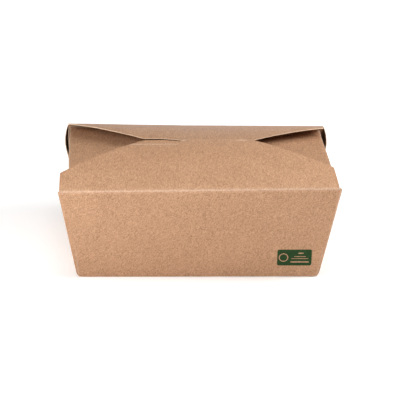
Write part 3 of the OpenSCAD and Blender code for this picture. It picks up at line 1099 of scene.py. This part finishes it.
@dataclass
class PrintedField:
    """Small printed field on the front wall: one colour, with a ring and bars left unprinted.

    Places are from the middle of the field, and a bar is its middle, its width and its height.
    """

    carton: Carton
    centre_x: float = 60.65
    centre_up: float = 13.65
    width: float = 21.7
    height: float = 11.5
    corner: float = 1.2
    ink: float = 0.012
    lift: float = 0.02
    ring_x: float = -6.9
    ring_radius: float = 3.0
    ring_line: float = 0.6
    bars: tuple[tuple[float, float, float, float], ...] = (
        (4.0, 3.1, 3.4, 0.8), (3.4, 0.7, 7.4, 0.45), (3.4, -0.8, 10.8, 0.45), (3.4, -3.2, 11.6, 0.9))
    bar_round: float = 0.3
    corner_points: int = 6
    ring_points: int = 40

    def box(self, x: float, y: float, width: float, height: float, radius: float) -> Array:
        """Outline of a rectangle with round corners.

        Args:
            x: Its middle along the field.
            y: Its middle up the field.
            width: Its width.
            height: Its height.
            radius: Radius of its corners.

        Returns:
            Points anticlockwise, from its right side on.
        """
        turn = np.linspace(0.0, math.pi / 2, self.corner_points)
        arc = np.stack([np.cos(turn), np.sin(turn)], -1) * radius
        quarter = arc + np.array([width / 2 - radius, height / 2 - radius])
        back = quarter[::-1]
        parts = [quarter, back * np.array([-1.0, 1.0]), -quarter, back * np.array([1.0, -1.0])]
        return np.concatenate(parts) + np.array([x, y])

    def circle(self, radius: float) -> Array:
        """Outline of a circle round the middle of the ring."""
        turn = np.linspace(0.0, 2 * math.pi, self.ring_points, endpoint=False)
        return np.stack([self.ring_x + radius * np.cos(turn), radius * np.sin(turn)], -1)

    def outlines(self) -> list[Array]:
        """Closed outlines of the print.

        Returns:
            The field, then the unprinted ring and bars inside it.
        """
        rings = [self.circle(self.ring_radius), self.circle(self.ring_radius - self.ring_line)]
        bars = [self.box(x, y, w, h, h * self.bar_round) for x, y, w, h in self.bars]
        return [self.box(0.0, 0.0, self.width, self.height, self.corner), *rings, *bars]

    def filled(self) -> bpy.types.Mesh:
        """The outlines filled as a flat curve, which becomes a mesh.

        Returns:
            The mesh, in millimetres from the middle of the field.
        """
        curve = bpy.data.curves.new("print_outline", "CURVE")
        curve.dimensions = "2D"
        curve.fill_mode = "BOTH"
        curve.extrude = self.ink
        for loop in self.outlines():
            spline = curve.splines.new("POLY")
            spline.points.add(len(loop) - 1)
            flat = np.tile([0.0, 0.0, 0.0, 1.0], (len(loop), 1))
            flat[:, :2] = loop
            spline.points.foreach_set("co", flat.ravel())
            spline.use_cyclic_u = True
        holder = in_scene("print_outline", curve)
        bpy.context.view_layer.update()
        graph = bpy.context.evaluated_depsgraph_get()
        mesh = bpy.data.meshes.new_from_object(holder.evaluated_get(graph))
        bpy.data.objects.remove(holder)
        bpy.data.curves.remove(curve)
        mesh.name = "printed_field"
        return mesh

    def build(self) -> bpy.types.Object:
        """The print as a thin layer on the wall: x goes along the wall and y up its slope.

        Returns:
            The object, which rides on the box.
        """
        s, mesh = self.carton.sizes, self.filled()
        flat = np.empty(len(mesh.vertices) * 3)
        mesh.vertices.foreach_get("co", flat)
        x, y, z = flat.reshape(-1, 3, 1).transpose(1, 0, 2)
        up = unit(s.long_top(0, -1) - s.long_foot(0, -1))
        along, out = np.array([1.0, 0.0, 0.0]), np.array([0.0, -up[2], up[1]])
        place = s.long_foot(0, -1) + (self.centre_x + x) * along + (self.centre_up + y) * up
        place = self.carton.folding.apply(place) + (s.board / 2 + self.lift + z) * out
        mesh.vertices.foreach_set("co", (place * MM).ravel())
        mesh.update()
        piece = in_scene("printed_field", mesh)
        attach(piece, "box")
        return piece


class NodeBench:
    """Short way to add nodes to a material and to link them."""

    def __init__(self, name: str) -> None:
        """Start a material that holds only a shader and an output.

        Args:
            name: Name of the material.
        """
        self.material = bpy.data.materials.new(name)
        self.material.use_nodes = True
        self.tree = self.material.node_tree
        self.tree.nodes.clear()
        self.shader = self.add("ShaderNodeBsdfPrincipled")
        self.add("ShaderNodeOutputMaterial", {"Surface": self.shader.outputs["BSDF"]})

    def add(self, kind: str, inputs: dict[str | int, object] | None = None, **settings: object
            ) -> bpy.types.Node:
        """Add one node.

        Args:
            kind: Blender's name for the node.
            inputs: Value of each input, or the socket that is linked to it.
            settings: Properties of the node.

        Returns:
            The node.
        """
        node = self.tree.nodes.new(kind)
        for key, value in settings.items():
            setattr(node, key, value)
        self.fill(node, inputs or {})
        return node

    def fill(self, node: bpy.types.Node, inputs: dict[str | int, object]) -> None:
        """Set inputs of a node, colours without their alpha.

        Args:
            node: The node.
            inputs: Value of each input, or the socket that is linked to it.
        """
        for key, value in inputs.items():
            socket = node.inputs[key]
            if isinstance(value, Socket):
                self.tree.links.new(value, socket)
            else:
                socket.default_value = (*value, 1.0) if socket.type == "RGBA" else value

    def shade(self, colour: object, rough: object, specular: float) -> None:
        """Set the shader's colour, its roughness and how strongly it mirrors."""
        self.fill(self.shader, {"Base Color": colour, "Roughness": rough, "Specular IOR Level": specular})

    def place(self, scale: Sequence[float] = (1.0, 1.0, 1.0), turn: Sequence[float] = (0.0, 0.0, 0.0),
              stretch: Stretch = Stretch.FACTOR) -> Socket:
        """Object coordinates, stretched and turned.

        Args:
            scale: Factor along each axis, or size of a spot along each of its own axes in metres.
            turn: Turn about each axis in degrees.
            stretch: Which of the two scale is.

        Returns:
            The coordinates' socket.
        """
        inputs = {"Vector": self.add("ShaderNodeTexCoord").outputs["Object"], "Scale": scale,
                  "Rotation": [math.radians(t) for t in turn]}
        return self.add("ShaderNodeMapping", inputs, vector_type=stretch.value).outputs["Vector"]

    def noise(self, where: Socket, scale: float = 1.0, detail: float = 2.0, rough: float = 0.5) -> Socket:
        """Noise from 0 to 1 at the given coordinates."""
        inputs = {"Vector": where, "Scale": scale, "Detail": detail, "Roughness": rough}
        return self.add("ShaderNodeTexNoise", inputs).outputs["Fac"]

    def attribute(self, name: str) -> Socket:
        """Value of one of the mesh's own attributes."""
        return self.add("ShaderNodeAttribute", attribute_name=name).outputs["Fac"]

    def math(self, operation: str, first: object, second: object, clamp: bool = False) -> Socket:
        """Sum, product or other operation of two values or sockets."""
        node = self.add("ShaderNodeMath", {0: first, 1: second}, operation=operation, use_clamp=clamp)
        return node.outputs["Value"]

    def total(self, *terms: tuple[Socket, float]) -> Socket:
        """Sum of sockets, each times its weight."""
        parts = [self.math("MULTIPLY", socket, weight) for socket, weight in terms]
        return reduce(lambda first, second: self.math("ADD", first, second), parts)

    def remap(self, value: Socket, source: Sequence[float], target: Sequence[float] = (0.0, 1.0)) -> Socket:
        """Value carried from one range to another and cut off at its ends."""
        ends = dict(zip(("From Min", "From Max", "To Min", "To Max"), (*source, *target)))
        return self.add("ShaderNodeMapRange", {"Value": value, **ends}, clamp=True).outputs["Result"]

    def ramp(self, value: Socket, colours: Sequence[Colour]) -> Socket:
        """Colour that goes through the given ones, evenly from 0 to 1.

        Args:
            value: Place on the ramp.
            colours: Its colours.

        Returns:
            The colour's socket.
        """
        node = self.add("ShaderNodeValToRGB", {"Fac": value})
        band = node.color_ramp
        while len(band.elements) < len(colours):
            band.elements.new(0.5)
        for element, place, colour in zip(band.elements, np.linspace(0.0, 1.0, len(colours)), colours):
            element.position = place
            element.color = (*colour, 1.0)
        return node.outputs["Color"]

    def mix(self, share: Socket, first: object, second: object) -> Socket:
        """Colour between two others, each a socket or a plain colour: inputs 6 and 7 and output 2."""
        node = self.add("ShaderNodeMix", {0: share, 6: first, 7: second}, data_type="RGBA")
        return node.outputs[2]

    def bump(self, height: Socket, strength: float, distance: float) -> None:
        """Bump on the shader: how much of it shows, and the height of one in metres."""
        inputs = {"Strength": strength, "Distance": distance, "Height": height}
        self.fill(self.shader, {"Normal": self.add("ShaderNodeBump", inputs).outputs["Normal"]})


@dataclass(frozen=True)
class KraftFinish:
    """Natural kraft board: fine light and dark fibres, a few dark specks, pale creases and cut edges that
    are partly painted highlight.

    A layer is how strongly it covers, and its colour. Weights say how much of each noise there is, and a
    detail is how many finer noises lie over it and how strong they are.
    """

    name: str = "kraft_board_finish"
    tones: tuple[Colour, ...] = ((0.288, 0.154, 0.084), (0.442, 0.245, 0.137), (0.58, 0.347, 0.206))
    speck: Layer = (0.45, (0.12, 0.065, 0.038))
    inside: Layer = (0.45, (0.40, 0.22, 0.125))
    # Painted shade: nearly black on the inside of the web corners' pockets.
    pocket_shade: Layer = (0.85, (0.07, 0.045, 0.03))
    # Pale creases: partly whitened board, partly painted highlight of the rounded folds.
    crease: Layer = (0.47, (0.74, 0.57, 0.45))
    # Pale cut edges: the board's paler core, made brighter as a painted highlight.
    cut: Layer = (0.75, (0.80, 0.60, 0.43))
    cloud_scale: float = 60.0
    cloud_detail: Pair = (3.0, 0.55)
    cloud_weight: float = 0.12
    grain_scale: Triple = (1350.0, 370.0, 1350.0)
    grain_weight: float = 0.70
    upright_size: Triple = (0.0024, 0.0011, 0.0005)
    upright_turn: Triple = (0.0, -50.0, 0.0)
    lying_size: Triple = (0.0052, 0.0005, 0.0011)
    lying_turn: Triple = (0.0, 0.0, 76.0)
    fibre_weight: float = 0.44
    tone_range: Pair = (0.615, 1.085)
    speck_scale: Triple = (95.0, 190.0, 150.0)
    speck_turn: Triple = (20.0, 35.0, 15.0)
    speck_edge: Pair = (0.04, 0.08)
    speck_chosen: Pair = (0.55, 0.60)
    # Grain that breaks up the pale crease line, which is partly wear and partly painted highlight.
    wear_and_highlight_range: Pair = (0.25, 0.75)
    wear_and_highlight_shares: Pair = (0.55, 1.0)
    rough_range: Pair = (-0.8, 0.8)
    roughness: Pair = (0.44, 0.72)
    specular: float = 0.26
    relief_scale: float = 1900.0
    relief_detail: Pair = (3.0, 0.6)
    fibre_relief: float = 0.5
    bump_share: float = 0.35
    bump_height: float = 0.00008

    def material(self) -> bpy.types.Material:
        """Material with mottling, grain, fibres and specks, all from noise on Object coordinates.

        Returns:
            The material.
        """
        bench = NodeBench(self.name)
        place = bench.place()
        cloud = bench.noise(place, self.cloud_scale, *self.cloud_detail)
        grain = bench.noise(bench.place(self.grain_scale))
        upright = bench.noise(bench.place(self.upright_size, self.upright_turn, Stretch.SPOT))
        lying = bench.noise(bench.place(self.lying_size, self.lying_turn, Stretch.SPOT))
        fibre = bench.math("ADD", upright, lying)
        mottle = bench.total((cloud, self.cloud_weight), (grain, self.grain_weight),
                             (fibre, self.fibre_weight))
        # Tone on the ramp: the mottle plus the painted light and shade of each patch.
        tone = bench.math("ADD", bench.remap(mottle, self.tone_range), bench.attribute("tone"), clamp=True)

        where = bench.place(self.speck_scale, self.speck_turn)
        cells = bench.add("ShaderNodeTexVoronoi", {"Vector": where, "Scale": 1.0, "Randomness": 1.0})
        near = bench.remap(cells.outputs["Distance"], self.speck_edge, (1.0, 0.0))
        pick = bench.add("ShaderNodeSeparateColor", {"Color": cells.outputs["Color"]})
        chosen = bench.remap(pick.outputs["Red"], self.speck_chosen)
        inside = bench.attribute("inside")
        # Share of the pale crease line, partly wear and partly painted highlight, broken up by the grain.
        wear_and_highlight = bench.remap(grain, self.wear_and_highlight_range, self.wear_and_highlight_shares)
        specks = bench.math("MULTIPLY", near, chosen)
        creased = bench.math("MULTIPLY", bench.attribute("crease"), wear_and_highlight)
        # Layers over the ramp: specks and the coated inside are the board's own, the pocket layer is
        # painted shade, and the crease and cut layers are partly painted highlight.
        covers = ((specks, self.speck), (inside, self.inside), (bench.attribute("pocket_shade"), self.pocket_shade),
                  (creased, self.crease), (bench.attribute("cut"), self.cut))
        colour = bench.ramp(tone, self.tones)
        for share, (weight, over) in covers:
            colour = bench.mix(bench.math("MULTIPLY", share, weight), colour, over)

        rough = bench.remap(bench.math("SUBTRACT", grain, inside), self.rough_range, self.roughness)
        bench.shade(colour, rough, self.specular)
        fine = bench.noise(place, self.relief_scale, *self.relief_detail)
        bench.bump(bench.total((fibre, self.fibre_relief), (fine, 1.0)), self.bump_share, self.bump_height)
        return bench.material


@dataclass(frozen=True)
class InkFinish:
    """Matt dark green ink on kraft board, a little thin where the fibres stand up."""

    name: str = "green_print_finish"
    ink: Colour = (0.013, 0.044, 0.010)
    thin: Colour = (0.036, 0.070, 0.028)
    grain_scale: float = 900.0
    grain_detail: Pair = (4.0, 0.6)
    thin_range: Pair = (0.45, 0.85)
    rough_range: Pair = (0.2, 0.8)
    roughness: Pair = (0.60, 0.78)
    specular: float = 0.16
    relief_scale: float = 1900.0
    relief_detail: Pair = (3.0, 0.6)
    bump_share: float = 0.3
    bump_height: float = 0.00006

    def material(self) -> bpy.types.Material:
        """Material of the ink: two greens mixed by the grain of the board.

        Returns:
            The material.
        """
        bench = NodeBench(self.name)
        place = bench.place()
        grain = bench.noise(place, self.grain_scale, *self.grain_detail)
        colour = bench.mix(bench.remap(grain, self.thin_range), self.ink, self.thin)
        rough = bench.remap(grain, self.rough_range, self.roughness)
        bench.shade(colour, rough, self.specular)
        fine = bench.noise(place, self.relief_scale, *self.relief_detail)
        bench.bump(fine, self.bump_share, self.bump_height)
        return bench.material


@dataclass(frozen=True)
class AreaLamp:
    """Soft square light: where it stands, where it aims, its width in metres and its power in watts."""

    name: str
    place: Triple
    aim: Triple
    width: float
    power: float

    def build(self) -> None:
        """Put the light into the scene."""
        data = bpy.data.lights.new(self.name, "AREA")
        data.shape = "SQUARE"
        data.size = self.width
        data.energy = self.power
        lamp = in_scene(self.name, data)
        lamp.location = self.place
        lamp.visible_camera = False
        lamp.rotation_euler = (Vector(self.aim) - Vector(self.place)).to_track_quat("-Z", "Y").to_euler()


@dataclass(frozen=True)
class Studio:
    """Plain pale floor, soft light, and the camera at the photograph's angle.

    The camera looks along a line through the middle of the box. Its lens is as long as the fitted
    focal length in pixels, on a frame 400 pixels wide. Its distance and aim are in millimetres, and
    the floor's and the lamps' places in metres.
    """

    frame_px: float = 400.0
    sensor: float = 36.0
    elevation: float = 17.98
    yaw: float = -0.73
    roll: float = 0.14
    distance: float = 1384.4
    focal_px: float = 2120.6
    centre_px: Pair = (197.75, 198.92)
    look_at: Triple = (0.0, 0.0, 32.0)
    clip: Pair = (0.01, 50.0)
    sky: float = 0.08
    floor_half: float = 6.0
    floor_height: float = -0.0002
    floor_white: float = 0.93
    floor_rough: float = 0.9
    floor_glow: Pair = (0.15, 0.85)
    glow_from: Pair = (0.08, 0.40)
    lamps: tuple[AreaLamp, ...] = (
        AreaLamp("near_left", (-0.30, -0.36, 0.24), (-0.05, -0.06, 0.05), 0.25, 1.03),
        AreaLamp("low_left", (-0.35, -0.22, 0.24), (-0.05, -0.04, 0.05), 0.20, 0.83),
        AreaLamp("near_right", (0.34, -0.07, 0.33), (0.06, -0.04, 0.06), 0.25, 1.66),
        AreaLamp("top", (0.0, -0.10, 1.60), (0.0, 0.0, 0.04), 0.90, 6.6),
        AreaLamp("low_back", (0.0, 1.40, 0.10), (0.0, 0.0, 0.05), 0.40, 2.8))

    def camera(self) -> None:
        """Create the camera and make it the scene's own."""
        e, w, r = (math.radians(v) for v in (self.elevation, self.yaw, self.roll))
        back = Vector((math.sin(w) * math.cos(e), -math.cos(w) * math.cos(e), math.sin(e)))
        level = Vector((math.cos(w), math.sin(w), 0.0))
        upright = back.cross(level)
        right = level * math.cos(r) + upright * math.sin(r)
        up = upright * math.cos(r) - level * math.sin(r)
        data = bpy.data.cameras.new("photo_camera")
        data.sensor_width = self.sensor
        data.sensor_fit = "HORIZONTAL"
        data.lens = self.focal_px * self.sensor / self.frame_px
        data.shift_x = (self.frame_px / 2 - self.centre_px[0]) / self.frame_px
        data.shift_y = (self.centre_px[1] - self.frame_px / 2) / self.frame_px
        data.clip_start, data.clip_end = self.clip
        matrix = Matrix((right, up, back)).transposed().to_4x4()
        matrix.translation = (Vector(self.look_at) + back * self.distance) * MM
        camera = in_scene("photo_camera", data)
        camera.matrix_world = matrix
        bpy.context.scene.camera = camera

    def floor(self) -> None:
        """Large pale floor just under the box; it glows, like a lit sweep, and more so farther away."""
        mesh = bpy.data.meshes.new("floor")
        half, low = self.floor_half, self.floor_height
        mesh.from_pydata([(-half, -half, low), (half, -half, low), (half, half, low), (-half, half, low)],
                         [], [(0, 1, 2, 3)])
        ground = in_scene("floor", mesh)
        bench = NodeBench("pale_floor")
        away = bench.add("ShaderNodeVectorMath", {0: bench.place()}, operation="LENGTH").outputs["Value"]
        glow = bench.remap(away, self.glow_from, self.floor_glow)
        bench.shade((self.floor_white,) * 3, self.floor_rough, 0.0)
        bench.fill(bench.shader, {"Emission Color": WHITE, "Emission Strength": glow})
        mesh.materials.append(bench.material)

    def sky_light(self) -> None:
        """Even white light from all around."""
        world = bpy.data.worlds.new("studio")
        world.use_nodes = True
        background = world.node_tree.nodes["Background"]
        background.inputs["Color"].default_value = (*WHITE, 1.0)
        background.inputs["Strength"].default_value = self.sky
        bpy.context.scene.world = world
        bpy.context.scene.view_settings.view_transform = "Standard"

    def build(self) -> None:
        """Camera, floor, sky and lamps."""
        self.camera()
        self.floor()
        self.sky_light()
        for lamp in self.lamps:
            lamp.build()


def dress(piece: bpy.types.Object, material: bpy.types.Material) -> None:
    """Give a piece its material and report it.

    Args:
        piece: The piece.
        material: Its only material.
    """
    piece.data.materials.clear()
    piece.data.materials.append(material)
    LOG.info("%s: %d faces, %s", piece.name, len(piece.data.polygons), material.name)


def main() -> None:
    """Build the studio and the carton's pieces."""
    logging.basicConfig(level=logging.INFO, format="%(message)s")
    Studio().build()
    sizes = CartonSizes()
    front = FlapOutline(sizes, left=SideCut(crease_x=-87.3, corner_x=-87.4, shoulder=20.4, notch_x=-35.2),
                        right=SideCut(crease_x=86.7, corner_x=84.7, shoulder=24.7, notch_x=36.0))
    back = FlapOutline(sizes, left=SideCut(crease_x=-86.8, corner_x=-86.9, shoulder=22.0, notch_x=-35.2),
                       right=SideCut(crease_x=86.8, corner_x=85.3, shoulder=26.3, notch_x=33.5))
    carton = Carton(sizes, HandFolding(sizes), front, back)
    kraft, ink = KraftFinish().material(), InkFinish().material()
    dress(carton.build(), kraft)
    dress(FrontFlap(carton).build(), kraft)
    dress(PrintedField(carton).build(), ink)
    bpy.context.view_layer.update()


if __name__ == "__main__":
    main()
